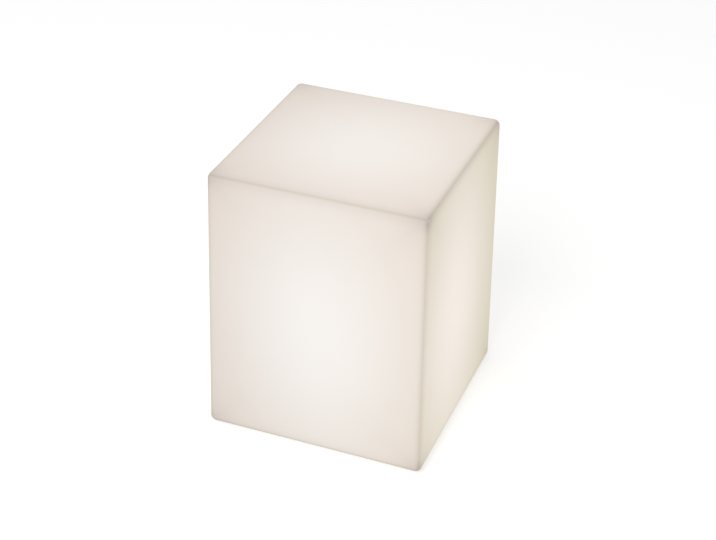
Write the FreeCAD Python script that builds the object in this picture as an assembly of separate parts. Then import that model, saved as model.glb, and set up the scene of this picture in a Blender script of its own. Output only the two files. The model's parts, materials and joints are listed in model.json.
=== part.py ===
import FreeCAD, Part
import math
import os
from FreeCAD import Vector

# A garden light in the form of a tall block: a translucent rotomoulded shell that stands on four
# rubber feet, with a sealed light unit screwed into a round well in its underside.
# Millimetres, +Z up. The origin is on the ground, under the middle of the shell. Front is -Y.

# Shell
shell_base_width = 356.0  # square outline at the bottom, which the draft narrows towards the top
shell_top_width = 344.0
shell_height = 446.0
shell_wall = 4.0
edge_radius = 10.0

# Round well in the underside that the light unit sits in
well_radius = 104.0
well_depth = 30.0
well_flare = 2.5
well_roof_round = 5.0
well_lip_round = 3.0
least_inner_round = 1.0

# Feet
foot_stand = 4.0  # gap that the feet leave under the shell
foot_inset = 40.0  # foot centre from the shell's side
foot_radius = 12.0
foot_taper = 1.0
foot_pocket_depth = 2.0
foot_pocket_gap = 0.4
foot_screw_sink = 3.0  # the screw seat above the ground
foot_groove_radius = 7.4
foot_groove_depth = 0.8
foot_edge = 0.8
foot_boss_radius = 17.0

# Brass inserts moulded into the shell, and the machine screws that go into them
insert_flats = 8.0  # across the flats of the hexagon
insert_length = 10.0
insert_skin = 3.0  # plastic round and over an insert
machine_screw_radius = 1.95
machine_head_radius = 3.9
machine_head_height = 2.2
machine_screw_length = 12.0
machine_screw_play = 0.4  # in the holes that the screws only pass through

# Small screws into plastic bosses
small_screw_radius = 1.2
small_head_radius = 2.4
small_head_height = 1.6
small_screw_length = 7.0
dome_screw_length = 16.0
thread_play = 0.05  # between a screw and the hole that it is driven into
seat_gap = 0.1  # sideways, between pieces that slip into each other

# Pan: the moulded housing that closes the well and carries everything electric
pan_radius = 74.0
pan_wall = 2.5
pan_floor = 3.0
pan_depth = 54.0
pan_hole_gap = 1.5  # between the pan and the hole in the shell
pan_floor_round = 3.0
flange_radius = 96.0
flange_thickness = 4.0
flange_chamfer = 1.0
flange_screw_circle = 88.0
flange_screw_count = 6
flange_sink = 1.6  # counterbore for the screw heads
panel_radius = 62.0  # middle panel, set back from the flange
panel_setback = 1.5
panel_bevel = 1.5
rib_thickness = 2.0
web_drop = 10.0  # top of a boss's web below the rim

gasket_thickness = 2.0
gasket_inner_gap = 3.0  # gasket's bore outside the pan
gasket_width = 5.5

# Controls in a row across the middle panel
control_row_y = -28.0
button_x = -27.0
indicator_x = 0.0
socket_x = 27.0

button_radius = 8.0
button_travel = 1.2
button_side_gap = 0.3
button_dome = 0.6
button_wall = 1.3
button_post_radius = 2.6  # post inside the cap that meets the plunger
button_flange_width = 1.5
button_flange_thickness = 1.0
button_seal_thickness = 0.8
button_seal_gap = 0.1
bezel_width = 2.7
bezel_height = 1.5
plunger_radius = 1.7
plunger_gap = 0.1
plunger_length = 2.6
switch_width = 8.0
switch_height = 3.5
switch_roof = 1.0

indicator_radius = 2.0
indicator_flange_width = 1.2
indicator_flange_thickness = 1.0
indicator_proud = 0.5
indicator_chip_height = 0.6

# Charging socket: a round low-voltage jack with a centre pin
socket_recess_radius = 8.0
socket_recess_depth = 2.5
socket_recess_wall = 3.0
socket_flange_radius = 5.6
socket_flange_thickness = 1.2
socket_bush_radius = 4.0
socket_bush_length = 12.0
socket_tail_radius = 3.4
socket_tail_length = 4.0
socket_bore_radius = 3.05
socket_bore_depth = 11.0
socket_pin_radius = 1.05
socket_pin_set_back = 1.2  # pin tip behind the socket's face
socket_tag_width = 2.4
socket_tag_length = 4.0
socket_tag_thickness = 0.6
socket_seal_width = 2.5
socket_seal_thickness = 1.0
socket_nut_flats = 12.0
socket_nut_thickness = 3.0

# Silicone cap over the socket, on a strap with a thin web that bends
cap_cover_radius = 10.0
cap_thickness = 1.4
cap_gap = 0.2  # under the panel
cap_plug_gap = 0.4
cap_plug_height = 1.9
cap_plug_wall = 1.6
cap_tab_length = 3.5
cap_tab_width = 8.0
cap_strap_width = 7.0
cap_hinge_reach = 13.0  # socket centre to the line where the web bends
cap_web_thickness = 0.8
cap_web_length = 2.2
cap_web_gap = 0.4
anchor_length = 11.0
anchor_stud_radius = 2.0
anchor_barb_radius = 3.0
anchor_barb_height = 2.0
anchor_corner_radius = 2.0

# Control board
board_length = 52.0
board_width = 42.0
board_thickness = 1.6
board_centre_x = -14.0
board_centre_y = -29.0
board_hole_inset = 4.0
board_stand = 7.0
board_boss_radius = 3.2
board_corner_radius = 2.0
chip_size = 9.0
chip_height = 1.6
capacitor_radius = 4.0
capacitor_height = 12.0
coil_radius = 5.0
coil_height = 5.5
header_length = 7.0
header_width = 5.0
header_height = 6.0

# Battery: cells side by side across the back half of the pan
cell_radius = 9.2
cell_length = 65.0
cell_pitch = 18.6
cell_count = 3
cell_cap_radius = 2.9
cell_cap_height = 1.0
cell_groove_inset = 5.0  # rolled groove near the positive end
cell_groove_width = 1.6
cell_groove_depth = 0.5
cell_first_y = 14.5
cell_floor_gap = 2.0
cell_tab_thickness = 0.3
cell_tab_width = 8.0
saddle_spacing = 40.0
saddle_height = 6.5
saddle_gap = 0.2
clamp_thickness = 1.5
clamp_width = 16.0
clamp_end_gap = 3.0
clamp_foot_length = 11.0
clamp_foot_height = 7.5  # above the pan's floor
clamp_bend_radius = 2.0
clamp_boss_radius = 4.0
pad_thickness = 1.0

# Heat sink plate, light-emitting board and dome
rim_gasket_thickness = 1.0
plate_thickness = 2.0
dome_screw_circle = 65.0
dome_screw_count = 4
dome_boss_radius = 4.0
lamp_board_radius = 44.0
lamp_board_thickness = 1.6
lamp_screw_circle = 26.0
lamp_screw_count = 3
lamp_screw_length = lamp_board_thickness + plate_thickness
emitter_width = 5.0
emitter_height = 1.5
emitter_inner_circle = 17.0
emitter_inner_count = 8
emitter_outer_circle = 36.0
emitter_outer_count = 16
dome_gasket_thickness = 1.0
dome_flange_radius = 70.0
dome_flange_thickness = 3.0
dome_radius = 58.0  # outside, where it meets the flange
dome_height = 36.0
dome_wall = 2.0

# Internal leads
lead_radius = 1.25
lead_rise = 9.0  # straight up from a connector before the lead bends away
lead_side_swing = 6.0
lamp_lead_rise = 12.0
lamp_lead_drop = 14.0  # start of the straight run under the grommet
lamp_lead_crest = 7.0  # above the lamp board
lamp_pad_inset = 3.0
grommet_circle = 50.0
grommet_waist_radius = 4.0
grommet_rim = 1.5
grommet_height = 4.6
grommet_play = 0.2

# Levels, from the ground up
shell_z = foot_stand
shell_top_z = shell_z + shell_height
well_roof_z = shell_z + well_depth
flange_top_z = well_roof_z - gasket_thickness
flange_z = flange_top_z - flange_thickness
panel_z = flange_z + panel_setback
floor_z = panel_z + pan_floor
rim_z = flange_z + pan_depth
plate_z = rim_z + rim_gasket_thickness
plate_top_z = plate_z + plate_thickness
lamp_board_z = plate_top_z + lamp_board_thickness
dome_z = plate_top_z + dome_gasket_thickness
board_z = floor_z + board_stand
board_top_z = board_z + board_thickness
button_top_z = floor_z + button_seal_thickness + button_seal_gap + button_flange_thickness
recess_z = panel_z + socket_recess_depth
socket_inner_z = recess_z + pan_floor
socket_face_z = recess_z - socket_flange_thickness
socket_bore_end_z = socket_face_z + socket_bore_depth
socket_tail_z = recess_z + socket_bush_length
cell_z = floor_z + cell_floor_gap + cell_radius
clamp_foot_z = floor_z + clamp_foot_height
clamp_top_z = cell_z + cell_radius + pad_thickness
cap_top_z = panel_z - cap_gap
cap_hinge_z = cap_top_z - cap_web_thickness / 2
cap_hinge_y = control_row_y + cap_hinge_reach
anchor_stud_y = cap_hinge_y + anchor_length / 2
pan_inner_radius = pan_radius - pan_wall
foot_reach = shell_base_width / 2 - foot_inset
foot_spots = [
    (side_x * foot_reach, side_y * foot_reach) for side_y in (-1, 1) for side_x in (-1, 1)
]
foot_names = ("foot_front_left", "foot_front_right", "foot_back_left", "foot_back_right")
board_spots = [
    (
        board_centre_x + side_x * (board_length / 2 - board_hole_inset),
        board_centre_y + side_y * (board_width / 2 - board_hole_inset),
    )
    for side_x in (-1, 1)
    for side_y in (-1, 1)
]
cell_rows = [cell_first_y + n * cell_pitch for n in range(cell_count)]
cell_middle_y = sum(cell_rows) / cell_count
clamp_leg_x = cell_length / 2 + cell_cap_height + clamp_end_gap
clamp_screw_x = clamp_leg_x + clamp_foot_length / 2 + clamp_thickness / 2
clamp_spots = [(side * clamp_screw_x, cell_middle_y) for side in (-1, 1)]


def ring_spots(circle, count, first_angle):
    """Points evenly spaced on a circle round the Z axis."""
    angles = [math.radians(first_angle + n * 360.0 / count) for n in range(count)]
    return [(circle * math.cos(a), circle * math.sin(a)) for a in angles]


flange_spots = ring_spots(flange_screw_circle, flange_screw_count, 30.0)
dome_spots = ring_spots(dome_screw_circle, dome_screw_count, 45.0)
lamp_screw_spots = ring_spots(lamp_screw_circle, lamp_screw_count, 90.0)


def disc(radius, z, height, x=0.0, y=0.0):
    return Part.makeCylinder(radius, height, Vector(x, y, z))


def tube(outer, inner, z, height, x=0.0, y=0.0):
    return disc(outer, z, height, x, y).cut(disc(inner, z - 1, height + 2, x, y))


def hexagon(flats, z, height, x=0.0, y=0.0):
    """A six-sided prism with the given distance across its flats."""
    corner = flats / 2 / math.cos(math.radians(30))
    points = [Vector(x + px, y + py, z) for px, py in ring_spots(corner, 6, 0.0)]
    return Part.Face(Part.makePolygon(points + points[:1])).extrude(Vector(0, 0, height))


def block(length, width, height, x, y, z):
    """A box centred on x, y that stands on z."""
    return Part.makeBox(length, width, height, Vector(x - length / 2, y - width / 2, z))


def small_screw_holes(spots, z, thickness, play=seat_gap):
    """Cutters for holes through a sheet that stands on z."""
    return [disc(small_screw_radius + play, z - 1, thickness + 2, x, y) for x, y in spots]


def turned(profile, x=0.0, y=0.0):
    """A solid of revolution from (radius, z) corners."""
    corners = [Vector(r, 0, z) for r, z in profile]
    face = Part.Face(Part.makePolygon(corners + corners[:1]))
    solid = face.revolve(Vector(0, 0, 0), Vector(0, 0, 1), 360)
    return solid.translated(Vector(x, y, 0))


def edges_at(shape, z):
    """The edges that lie in the level plane z."""
    return [
        e for e in shape.Edges if abs(e.BoundBox.ZMin - z) < 1e-3 and abs(e.BoundBox.ZMax - z) < 1e-3
    ]


def upright_edges(shape):
    """The straight edges that run from one level to another."""
    return [e for e in shape.Edges if len(e.Vertexes) == 2 and e.BoundBox.ZLength > 0.5]


def rounded_slab(length, width, height, corner, x, y, z):
    slab = block(length, width, height, x, y, z)
    return slab.makeFillet(corner, upright_edges(slab))


def screw(x, y, seat_z, length, radius, head_radius, head_height, heads_down):
    """A pan-head screw, seated at seat_z, with its head below the seat or above it."""
    way = 1 if heads_down else -1
    profile = [
        (0, -head_height),
        (0.75 * head_radius, -head_height),
        (head_radius, 0),
        (radius, 0),
        (radius, length),
        (0, length),
    ]
    return turned([(r, seat_z + way * z) for r, z in profile], x, y)


def machine_screw(x, y, seat_z):
    radius, head = machine_screw_radius, machine_head_radius
    return screw(x, y, seat_z, machine_screw_length, radius, head, machine_head_height, True)


def small_screw(x, y, seat_z, length=small_screw_length):
    return screw(x, y, seat_z, length, small_screw_radius, small_head_radius, small_head_height, False)


def lead(points, name):
    """A flexible lead: straight runs along the points, joined by arcs as large as the runs allow."""
    points = [Vector(*p) for p in points]
    edges = []
    start = points[0]
    radii = []
    for before, corner, after in zip(points, points[1:], points[2:]):
        way_in = (corner - before).normalize()
        way_out = (after - corner).normalize()
        turn = way_in.getAngle(way_out)
        shorter_run = min((corner - before).Length, (after - corner).Length)
        setback = 0.45 * shorter_run
        radii.append(setback / math.tan(turn / 2))
        arc_start = corner - way_in * setback
        arc_end = corner + way_out * setback
        towards_centre = (way_out - way_in).normalize()
        middle = corner + towards_centre * radii[-1] * (1 / math.cos(turn / 2) - 1)
        edges.append(Part.LineSegment(start, arc_start).toShape())
        edges.append(Part.Arc(arc_start, middle, arc_end).toShape())
        start = arc_end
    edges.append(Part.LineSegment(start, points[-1]).toShape())
    path = Part.Wire(edges)
    first_way = (points[1] - points[0]).normalize()
    section = Part.Wire(Part.makeCircle(lead_radius, points[0], first_way))
    solid = path.makePipeShell([section], True, False)
    expected = math.pi * lead_radius**2 * path.Length
    print(
        name,
        "length %.1f" % path.Length,
        "bend radii",
        ["%.1f" % r for r in radii],
        "volume over section times length %.4f" % (solid.Volume / expected),
    )
    return solid


# Shell


def tapered_box(base_width, top_width, z, top_z, corner_round):
    """A four-sided frustum with all twelve edges rounded alike."""
    outlines = []
    for width, level in ((base_width, z), (top_width, top_z)):
        half = width / 2
        corners = [Vector(sx * half, sy * half, level) for sx, sy in ((-1, -1), (1, -1), (1, 1), (-1, 1))]
        outlines.append(Part.makePolygon(corners + corners[:1]))
    box = Part.makeLoft(outlines, True, True)
    return box.makeFillet(corner_round, box.Edges)


def well_form(growth):
    """The well's hollow, or with growth the skin of plastic round it, seen from inside the shell."""
    mouth = well_radius + well_flare + growth
    form = Part.makeCone(mouth, well_radius + growth, well_depth + growth, Vector(0, 0, shell_z))
    return form.makeFillet(well_roof_round + growth, edges_at(form, well_roof_z + growth))


def make_shell():
    lean = (shell_base_width - shell_top_width) / shell_height  # width lost for each millimetre of height
    outside = tapered_box(shell_base_width, shell_top_width, shell_z, shell_top_z, edge_radius)
    inside = tapered_box(
        shell_base_width - 2 * shell_wall - lean * shell_wall,
        shell_top_width - 2 * shell_wall + lean * shell_wall,
        shell_z + shell_wall,
        shell_top_z - shell_wall,
        max(edge_radius - shell_wall, least_inner_round),
    )
    shell = outside.cut(well_form(0.0))
    mouth = [e for e in edges_at(shell, shell_z) if abs(e.BoundBox.XMax - well_radius - well_flare) < 0.1]
    shell = shell.makeFillet(well_lip_round, mouth)
    shell = shell.cut(inside.cut(well_form(shell_wall)))

    boss_radius = insert_flats / 2 + insert_skin
    boss_height = insert_length + insert_skin
    bosses = [disc(boss_radius, well_roof_z, boss_height, x, y) for x, y in flange_spots]
    foot_boss_height = foot_pocket_depth + boss_height
    bosses += [
        Part.makeCone(foot_boss_radius, boss_radius, foot_boss_height, Vector(x, y, shell_z))
        for x, y in foot_spots
    ]
    shell = shell.fuse(bosses)

    holes = [disc(pan_radius + pan_hole_gap, well_roof_z - 1, shell_wall + 2)]
    holes += [hexagon(insert_flats, well_roof_z - 1, insert_length + 1, x, y) for x, y in flange_spots]
    pocket_z = shell_z + foot_pocket_depth
    for x, y in foot_spots:
        holes.append(disc(foot_radius + foot_pocket_gap, shell_z - 1, foot_pocket_depth + 1, x, y))
        holes.append(hexagon(insert_flats, pocket_z - 1, insert_length + 1, x, y))
    return shell.cut(holes).removeSplitter()


def make_insert(x, y, z):
    """A hexagonal brass bush, which cannot turn in the plastic."""
    bore = disc(machine_screw_radius + thread_play, z - 1, insert_length + 2, x, y)
    return hexagon(insert_flats, z, insert_length, x, y).cut(bore)


def make_foot(x, y):
    """A round foot with a sunk screw seat and a grip groove round its sole."""
    top_z = shell_z + foot_pocket_depth
    bore = machine_screw_radius + machine_screw_play
    sink = machine_head_radius + machine_screw_play
    profile = [
        (bore, foot_screw_sink),
        (sink, foot_screw_sink),
        (sink, 0),
        (foot_groove_radius - foot_groove_depth, 0),
        (foot_groove_radius, foot_groove_depth),
        (foot_groove_radius + foot_groove_depth, 0),
        (foot_radius - foot_taper - foot_edge, 0),
        (foot_radius - foot_taper, foot_edge),
        (foot_radius, top_z - foot_pocket_depth),
        (foot_radius, top_z),
        (bore, top_z),
    ]
    return turned(profile, x, y)


# Light unit: pan and seals


def saddle_plate(x):
    """A rib across the pan's floor with a round seat for each cell."""
    width = (cell_count - 1) * cell_pitch + 1.4 * cell_radius
    plate = block(rib_thickness, width, saddle_height, x, cell_middle_y, floor_z)
    for y in cell_rows:
        start = Vector(x - 2 * rib_thickness, y, cell_z)
        seat = Part.makeCylinder(cell_radius + saddle_gap, 4 * rib_thickness, start, Vector(1, 0, 0))
        plate = plate.cut(seat)
    return plate


def boss_web(x, y):
    """The web that ties a dome boss to the pan's wall."""
    reach = pan_inner_radius - dome_screw_circle + pan_wall / 2
    web = Part.makeBox(
        reach,
        rib_thickness,
        rim_z - web_drop - floor_z,
        Vector(dome_screw_circle, -rib_thickness / 2, floor_z),
    )
    web.rotate(Vector(0, 0, 0), Vector(0, 0, 1), math.degrees(math.atan2(y, x)))
    return web


def make_pan():
    profile = [
        (0, panel_z),
        (panel_radius, panel_z),
        (panel_radius + panel_bevel, flange_z),
        (flange_radius - flange_chamfer, flange_z),
        (flange_radius, flange_z + flange_chamfer),
        (flange_radius, flange_top_z),
        (pan_radius, flange_top_z),
        (pan_radius, rim_z),
        (pan_inner_radius, rim_z),
        (pan_inner_radius, floor_z + pan_floor_round),
        (pan_inner_radius - pan_floor_round, floor_z),
        (0, floor_z),
    ]
    pan = turned(profile)
    adds = [disc(dome_boss_radius, floor_z, rim_z - floor_z, x, y) for x, y in dome_spots]
    adds += [boss_web(x, y) for x, y in dome_spots]
    adds += [disc(board_boss_radius, floor_z, board_stand, x, y) for x, y in board_spots]
    adds += [saddle_plate(side * saddle_spacing / 2) for side in (-1, 1)]
    adds += [disc(clamp_boss_radius, floor_z, clamp_foot_height, x, y) for x, y in clamp_spots]
    recess_skin = socket_recess_radius + socket_recess_wall
    adds.append(disc(recess_skin, panel_z, socket_inner_z - panel_z, socket_x, control_row_y))
    pan = pan.fuse(adds)

    pilot = small_screw_radius + thread_play
    cuts = []
    for x, y in dome_spots:
        cuts.append(disc(pilot, rim_z - dome_screw_length, dome_screw_length + 1, x, y))
    for x, y in board_spots:
        cuts.append(disc(pilot, board_z - small_screw_length, small_screw_length + 1, x, y))
    for x, y in clamp_spots:
        cuts.append(disc(pilot, clamp_foot_z - small_screw_length, small_screw_length + 1, x, y))
    for x, y in flange_spots:
        cuts.append(disc(machine_screw_radius + machine_screw_play, flange_z - 1, flange_thickness + 2, x, y))
        cuts.append(disc(machine_head_radius + machine_screw_play, flange_z - 1, flange_sink + 1, x, y))
    y = control_row_y
    cuts.append(disc(button_radius + button_side_gap, panel_z - 1, pan_floor + 2, button_x, y))
    cuts.append(disc(indicator_radius + seat_gap, panel_z - 1, pan_floor + 2, indicator_x, y))
    cuts.append(disc(socket_recess_radius, panel_z - 1, socket_recess_depth + 1, socket_x, y))
    cuts.append(disc(socket_bush_radius + seat_gap, recess_z - 1, pan_floor + 2, socket_x, y))
    cuts.append(disc(anchor_stud_radius + seat_gap, panel_z - 1, pan_floor + 2, socket_x, anchor_stud_y))
    return pan.cut(cuts).removeSplitter()


def make_pan_gasket():
    inner = pan_radius + gasket_inner_gap
    return tube(inner + gasket_width, inner, flange_top_z, gasket_thickness)


# Button


def make_button():
    """A hollow cap with a post for the switch, held in by a lip inside the panel."""
    lip_z = button_top_z - button_flange_thickness
    lip_radius = button_radius + button_side_gap + button_flange_width
    face_z = flange_z
    profile = [
        (0, face_z - button_dome),
        (0.45 * button_radius, face_z - 0.85 * button_dome),
        (0.8 * button_radius, face_z - 0.35 * button_dome),
        (button_radius, face_z + 0.4),
        (button_radius, lip_z),
        (lip_radius, lip_z),
        (lip_radius, button_top_z),
        (button_radius - button_wall, button_top_z),
        (button_radius - button_wall, face_z + button_wall),
        (button_post_radius, face_z + button_wall),
        (button_post_radius, button_top_z),
        (0, button_top_z),
    ]
    return turned(profile, button_x, control_row_y)


def make_button_bezel():
    inner = button_radius + button_side_gap
    outer = inner + bezel_width
    z = panel_z - bezel_height
    profile = [(inner, z), (outer - 1.0, z), (outer, z + 1.0), (outer, panel_z), (inner, panel_z)]
    return turned(profile, button_x, control_row_y)


def make_button_seal():
    inner = button_radius + button_side_gap
    outer = inner + button_flange_width + button_seal_thickness
    return tube(outer, inner, floor_z, button_seal_thickness, button_x, control_row_y)


def make_switch_plunger():
    return disc(plunger_radius, button_top_z, plunger_length, button_x, control_row_y)


def make_switch():
    body = block(switch_width, switch_width, switch_height, button_x, control_row_y, board_z - switch_height)
    hollow = switch_height - switch_roof
    shaft = disc(plunger_radius + plunger_gap, board_z - switch_height, hollow, button_x, control_row_y)
    return body.cut(shaft)


def make_indicator():
    z = panel_z - indicator_proud
    end_z = board_z - indicator_chip_height
    flange = indicator_radius + indicator_flange_width
    profile = [
        (0, z),
        (0.6 * indicator_radius, z),
        (indicator_radius, z + 0.5 * indicator_proud),
        (indicator_radius, floor_z),
        (flange, floor_z),
        (flange, floor_z + indicator_flange_thickness),
        (indicator_radius, floor_z + indicator_flange_thickness),
        (indicator_radius, end_z),
        (0, end_z),
    ]
    return turned(profile, indicator_x, control_row_y)


# Charging socket and its cap


def make_socket():
    profile = [
        (socket_bore_radius, socket_face_z),
        (socket_flange_radius - 0.3, socket_face_z),
        (socket_flange_radius, socket_face_z + 0.3),
        (socket_flange_radius, recess_z),
        (socket_bush_radius, recess_z),
        (socket_bush_radius, socket_tail_z),
        (socket_tail_radius, socket_tail_z),
        (socket_tail_radius, socket_tail_z + socket_tail_length),
        (0, socket_tail_z + socket_tail_length),
        (0, socket_bore_end_z),
        (socket_bore_radius, socket_bore_end_z),
    ]
    body = turned(profile, socket_x, control_row_y)
    tag_z = socket_tail_z + socket_tail_length
    for side in (-1, 1):
        y = control_row_y + side * socket_tail_radius / 2
        body = body.fuse(block(socket_tag_width, socket_tag_thickness, socket_tag_length, socket_x, y, tag_z))
    return body


def make_socket_pin():
    tip_z = socket_face_z + socket_pin_set_back
    profile = [
        (0, tip_z),
        (0.5 * socket_pin_radius, tip_z),
        (socket_pin_radius, tip_z + 0.5),
        (socket_pin_radius, socket_bore_end_z),
        (0, socket_bore_end_z),
    ]
    return turned(profile, socket_x, control_row_y)


def make_socket_seal():
    inner = socket_bush_radius + seat_gap
    outer = inner + socket_seal_width
    return tube(outer, inner, socket_inner_z, socket_seal_thickness, socket_x, control_row_y)


def make_socket_nut():
    z = socket_inner_z + socket_seal_thickness
    nut = hexagon(socket_nut_flats, z, socket_nut_thickness, socket_x, control_row_y)
    bore = socket_bush_radius + thread_play
    return nut.cut(disc(bore, z - 1, socket_nut_thickness + 2, socket_x, control_row_y))


def make_socket_cap():
    """Cover with a ring that plugs the recess, a finger tab and the strap up to the bending web."""
    z = cap_top_z - cap_thickness
    cover = disc(cap_cover_radius, z, cap_thickness, socket_x, control_row_y)
    tab_y = control_row_y - cap_cover_radius
    tab = rounded_slab(cap_tab_width, 2 * cap_tab_length, cap_thickness, 2.0, socket_x, tab_y, z)
    strap_end = cap_hinge_y - cap_web_length
    strap_mid = (control_row_y + strap_end) / 2
    strap = block(cap_strap_width, strap_end - control_row_y, cap_thickness, socket_x, strap_mid, z)
    web_mid = (strap_end + cap_hinge_y) / 2 - 0.25
    web = block(
        cap_strap_width,
        cap_web_length + 0.5,
        cap_web_thickness,
        socket_x,
        web_mid,
        cap_top_z - cap_web_thickness,
    )
    web_end = Part.makeCylinder(
        cap_web_thickness / 2,
        cap_strap_width,
        Vector(socket_x - cap_strap_width / 2, cap_hinge_y, cap_hinge_z),
        Vector(1, 0, 0),
    )
    plug_radius = socket_recess_radius - cap_plug_gap
    plug = tube(plug_radius, plug_radius - cap_plug_wall, cap_top_z, cap_plug_height, socket_x, control_row_y)
    return cover.fuse([tab, strap, web, web_end, plug]).removeSplitter()


def make_cap_anchor():
    """The strap's fixed end, with a barbed stud through the panel."""
    z = cap_top_z - cap_thickness
    start_y = cap_hinge_y + cap_web_thickness / 2 + cap_web_gap
    end_y = cap_hinge_y + anchor_length
    pad_start = cap_hinge_y + cap_web_length
    pad = rounded_slab(
        cap_strap_width,
        end_y - pad_start,
        panel_z - z,
        anchor_corner_radius,
        socket_x,
        (pad_start + end_y) / 2,
        z,
    )
    web = block(
        cap_strap_width - 2 * anchor_corner_radius,
        anchor_stud_y - start_y,
        panel_z - cap_top_z + cap_web_thickness,
        socket_x,
        (start_y + anchor_stud_y) / 2,
        cap_top_z - cap_web_thickness,
    )
    stud = disc(anchor_stud_radius, z, floor_z - z, socket_x, anchor_stud_y)
    barb = Part.makeCone(
        anchor_barb_radius, anchor_stud_radius, anchor_barb_height, Vector(socket_x, anchor_stud_y, floor_z)
    )
    return pad.fuse([web, stud, barb]).removeSplitter()


# Control board


def make_board():
    board = rounded_slab(
        board_length,
        board_width,
        board_thickness,
        board_corner_radius,
        board_centre_x,
        board_centre_y,
        board_z,
    )
    return board.cut(small_screw_holes(board_spots, board_z, board_thickness))


def header_spots():
    """Where the three plug-in headers stand on the board: battery, lamp and charging socket."""
    back = board_centre_y + board_width / 2 - header_width / 2 - 1
    front = board_centre_y - board_width / 2 + header_width / 2 + 1
    right = board_centre_x + board_length / 2 - header_length / 2 - 1
    return {
        "battery": (board_centre_x - board_length / 4, back),
        "lamp": (board_centre_x + board_length / 8, front),
        "socket": (right, control_row_y),
    }


def make_board_parts():
    """The larger components, as separate solids that stand on the board."""
    top = board_top_z
    middle = board_centre_y
    parts = [block(header_length, header_width, header_height, x, y, top) for x, y in header_spots().values()]
    parts.append(block(chip_size, chip_size, chip_height, board_centre_x - board_length / 8, middle, top))
    for step in (-1, 1):
        y = middle + step * (capacitor_radius + 1)
        parts.append(disc(capacitor_radius, top, capacitor_height, board_centre_x - board_length * 0.36, y))
    coil = disc(coil_radius, top, coil_height, board_centre_x + board_length * 0.14, middle)
    parts.append(coil.makeChamfer(0.8, edges_at(coil, top + coil_height)))
    chip_z = board_z - indicator_chip_height
    parts.append(block(3.2, 1.6, indicator_chip_height, indicator_x, control_row_y, chip_z))
    return parts


# Battery


def make_cell(y):
    groove_z = cell_length - cell_groove_inset
    profile = [
        (0, 0),
        (cell_radius, 0),
        (cell_radius, groove_z - cell_groove_width / 2),
        (cell_radius - cell_groove_depth, groove_z),
        (cell_radius, groove_z + cell_groove_width / 2),
        (cell_radius, cell_length),
        (cell_cap_radius, cell_length),
        (cell_cap_radius, cell_length + cell_cap_height),
        (0, cell_length + cell_cap_height),
    ]
    cell = turned(profile)
    cell.rotate(Vector(0, 0, 0), Vector(0, 1, 0), 90)
    return cell.translated(Vector(-cell_length / 2, y, cell_z))


def make_cell_tabs():
    """The welded strips that join the cells at each end."""
    span = (cell_count - 1) * cell_pitch + cell_tab_width
    left_x = -cell_length / 2 - cell_tab_thickness / 2
    right_x = cell_length / 2 + cell_cap_height + cell_tab_thickness / 2
    z = cell_z - cell_tab_width / 2
    return [
        block(cell_tab_thickness, span, cell_tab_width, x, cell_middle_y, z) for x in (left_x, right_x)
    ]


def same_edges(shape, before):
    """The same edges as before, found again on the changed shape."""
    places = [e.CenterOfMass for e in before]
    return [e for e in shape.Edges if any((e.CenterOfMass - p).Length < 0.01 for p in places)]


def make_clamp():
    """A strap bent from sheet that holds the cells down, with a foot at each end."""
    inner_top = clamp_top_z
    t = clamp_thickness
    foot_end = clamp_leg_x + t + clamp_foot_length
    right_half = [
        (clamp_leg_x + t, inner_top + t),
        (clamp_leg_x + t, clamp_foot_z + t),
        (foot_end, clamp_foot_z + t),
        (foot_end, clamp_foot_z),
        (clamp_leg_x, clamp_foot_z),
        (clamp_leg_x, inner_top),
    ]
    outline = right_half + [(-x, z) for x, z in reversed(right_half)]
    start_y = cell_middle_y - clamp_width / 2
    corners = [Vector(x, start_y, z) for x, z in outline]
    strap = Part.Face(Part.makePolygon(corners + corners[:1])).extrude(Vector(0, clamp_width, 0))
    across = [e for e in strap.Edges if e.BoundBox.YLength > 1]
    outer = [e for e in across if abs(e.BoundBox.ZMax - inner_top - t) < 0.01]
    inner = [e for e in across if abs(e.BoundBox.ZMax - inner_top) < 0.01]
    strap = strap.makeFillet(clamp_bend_radius + t, outer)
    strap = strap.makeFillet(clamp_bend_radius, same_edges(strap, inner))
    return strap.cut(small_screw_holes(clamp_spots, clamp_foot_z, t))


def make_battery_pad():
    length = cell_length * 0.8
    width = min(clamp_width, (cell_count - 1) * cell_pitch)
    return block(length, width, pad_thickness, 0, cell_middle_y, cell_z + cell_radius)


# Heat sink plate, lamp board and dome


def make_rim_gasket():
    return tube(pan_radius, pan_inner_radius, rim_z, rim_gasket_thickness)


def make_plate():
    plate = disc(pan_radius, plate_z, plate_thickness)
    plate = plate.makeChamfer(0.5, edges_at(plate, plate_top_z))
    holes = small_screw_holes(dome_spots, plate_z, plate_thickness)
    holes += small_screw_holes(lamp_screw_spots, plate_z, plate_thickness, thread_play)
    holes.append(disc(grommet_waist_radius, plate_z - 1, plate_thickness + 2, 0, -grommet_circle))
    return plate.cut(holes)


def make_lamp_board():
    board = disc(lamp_board_radius, plate_top_z, lamp_board_thickness)
    return board.cut(small_screw_holes(lamp_screw_spots, plate_top_z, lamp_board_thickness))


def make_emitters():
    emitters = []
    rings = ((emitter_inner_circle, emitter_inner_count), (emitter_outer_circle, emitter_outer_count))
    for circle, count in rings:
        for n in range(count):
            emitter = block(emitter_width, emitter_width, emitter_height, circle, 0, lamp_board_z)
            emitter.rotate(Vector(0, 0, 0), Vector(0, 0, 1), (n + 0.5) * 360.0 / count)
            emitters.append(emitter)
    return emitters


def dome_arc(radius, height, z):
    """A cap of a sphere that stands on z, as a half profile's arc: start, middle and end."""
    sphere = (radius**2 + height**2) / (2 * height)
    centre_z = z + height - sphere
    half_angle = math.asin(min(1.0, radius / sphere))
    middle = Vector(sphere * math.sin(half_angle / 2), 0, centre_z + sphere * math.cos(half_angle / 2))
    return Part.Arc(Vector(radius, 0, z), middle, Vector(0, 0, z + height)).toShape()


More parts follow.
